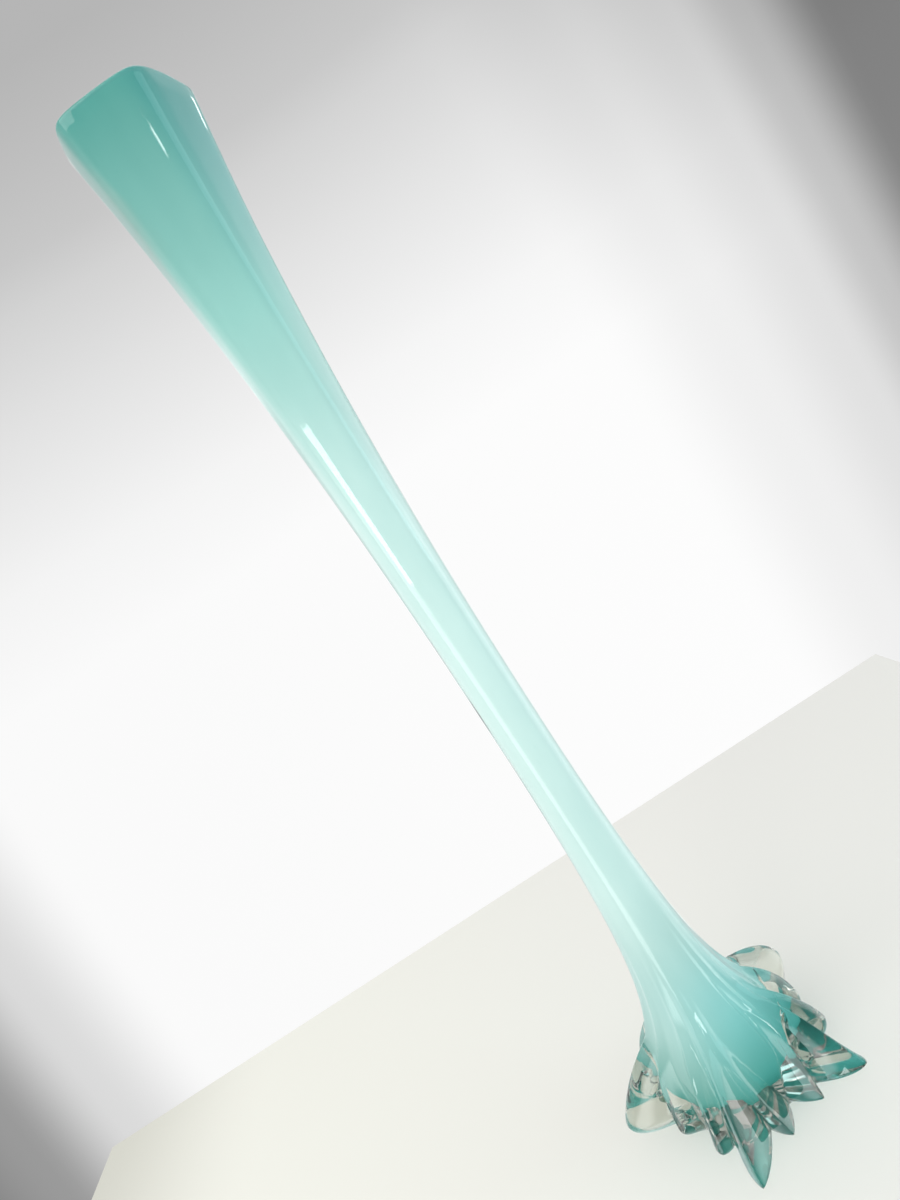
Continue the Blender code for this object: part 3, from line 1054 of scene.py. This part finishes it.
def studio_floor(studio):
    """A plain pale table top whose back edge crosses behind the vase, with painted warm light on its left,
    painted cool shade on its right and painted shade towards its far left.
    """
    left, right, near, far, level = -0.415, 0.242, -1.2, 0.268, -0.0002
    grain_colour, grain_share, grain_scale = (0.74, 0.74, 0.71, 1), 0.06, 9.0
    # Tints of painted warm light on the left of the floor and painted cool shade on its right
    painted_warm_light_left, painted_cool_shade_right = (1.06, 1.05, 1.01, 1), (0.985, 0.965, 0.97, 1)
    # Tint of painted shade at the floor's far left
    painted_shade_left_edge = (0.74, 0.74, 0.72, 1)
    recipe = Recipe(bpy.data.materials.new("floor"))
    place = recipe.place()
    side = recipe.axis(place, "X")
    grain = grain_share * recipe.noise(place, grain_scale)
    colour = recipe.blend(grain, opaque(studio.floor_colour), grain_colour)
    # Painted light: warmer and lighter on the left; painted shade: cooler and darker on the right
    colour = recipe.tinted(colour, recipe.blend(recipe.between(side, -0.35, 0.15), painted_warm_light_left, painted_cool_shade_right))
    # Painted shade: darker towards the floor's far left
    colour = recipe.tinted(colour, recipe.blend(recipe.between(side, -0.43, -0.27), painted_shade_left_edge, UNTINTED))
    sockets = {"Base Color": colour, "Roughness": 0.55, "Specular IOR Level": 0.3}
    recipe.close(recipe.node("ShaderNodeBsdfPrincipled", None, sockets))
    mesh = bpy.data.meshes.new("floor")
    corners = [(left, near, level), (right, near, level), (right, far, level), (left, far, level)]
    mesh.from_pydata(corners, [], [(0, 1, 2, 3)])
    mesh.materials.append(recipe.owner)
    floor = bpy.data.objects.new("floor", mesh)
    bpy.context.scene.collection.objects.link(floor)
    floor.visible_glossy = False


def studio_lamps(studio):
    """One soft lamp, a cool fill, and three that are there for what the glass mirrors of them."""
    middle, neck, mouth, mouth_edge = (0, 0, 0.2), (0, 0, 0.29), (0.007, -0.02, 0.428), (0.027, 0, 0.435)
    lamp("soft_lamp", (-0.9, -0.7, 1.4), middle, width=1.2, height=1.2, power=studio.key)
    lamp("window_lamp", (-0.45, -1.11, 0.20), neck, width=0.30, height=0.25, power=studio.window)
    lamp("mouth_lamp", (-0.04, -1.0, 0.583), mouth, width=0.07, height=0.03, power=studio.mouth_spot)
    lamp("edge_lamp", (0.755, 0.70, 0.768), mouth_edge, width=0.072, height=0.078, power=studio.edge_spot)
    cool = (0.60, 1.0, 1.06)
    lamp("fill_lamp", (1.1, -0.5, 0.5), middle, width=0.9, height=0.9, power=studio.fill, colour=cool)


def studio_camera(studio):
    """The camera at the photograph's angle, pitched down and rolled. It is the scene's camera."""
    data = bpy.data.cameras.new("camera")
    data.sensor_width = 36
    data.lens = studio.lens
    data.clip_start = 0.01
    camera = bpy.data.objects.new("camera", data)
    level = Matrix.Rotation(math.pi / 2 - studio.pitch, 4, "X")
    camera.matrix_world = Matrix.Translation(studio.eye) @ level @ Matrix.Rotation(-studio.roll, 4, "Z")
    bpy.context.scene.collection.objects.link(camera)
    bpy.context.scene.camera = camera


class VASE_OT_studio(bpy.types.Operator):
    """Set up the floor, the light and the camera"""

    bl_idname = "vase.studio"
    bl_label = "Studio"

    def execute(self, context):
        studio = context.scene.vase_studio
        context.scene.view_settings.view_transform = "Standard"
        studio_world(studio)
        studio_floor(studio)
        studio_lamps(studio)
        studio_camera(studio)
        return {"FINISHED"}


class VASE_PT_maker(bpy.types.Panel):
    """The vase's pieces and their settings"""

    bl_label = "Stem Vase"
    bl_space_type = "VIEW_3D"
    bl_region_type = "UI"
    bl_category = "Vase"

    def draw(self, context):
        for operator in OPERATORS:
            self.layout.operator(operator.bl_idname)
        for group in GROUPS:
            box = self.layout.box()
            settings = getattr(context.scene, group)
            for name in settings.__annotations__:
                box.prop(settings, name)


GROUPS = {
    "vase_stem": StemSizes,
    "vase_walls": WallSizes,
    "vase_foot": FootSizes,
    "vase_glass": GlassFinish,
    "vase_studio": StudioSettings,
}
OPERATORS = (VASE_OT_clear_casing, VASE_OT_opal_lining, VASE_OT_studio)


def register():
    """Adds the settings, the operators and the panel."""
    for kind in (*GROUPS.values(), *OPERATORS, VASE_PT_maker):
        bpy.utils.register_class(kind)
    for name, group in GROUPS.items():
        setattr(bpy.types.Scene, name, bpy.props.PointerProperty(type=group))


def unregister():
    """Takes them away again."""
    for name in GROUPS:
        delattr(bpy.types.Scene, name)
    for kind in (VASE_PT_maker, *OPERATORS, *GROUPS.values()):
        bpy.utils.unregister_class(kind)


def main():
    """Builds the vase and its studio."""
    register()
    bpy.ops.vase.clear_casing()
    bpy.ops.vase.opal_lining()
    bpy.ops.vase.studio()


if __name__ == "__main__":
    main()
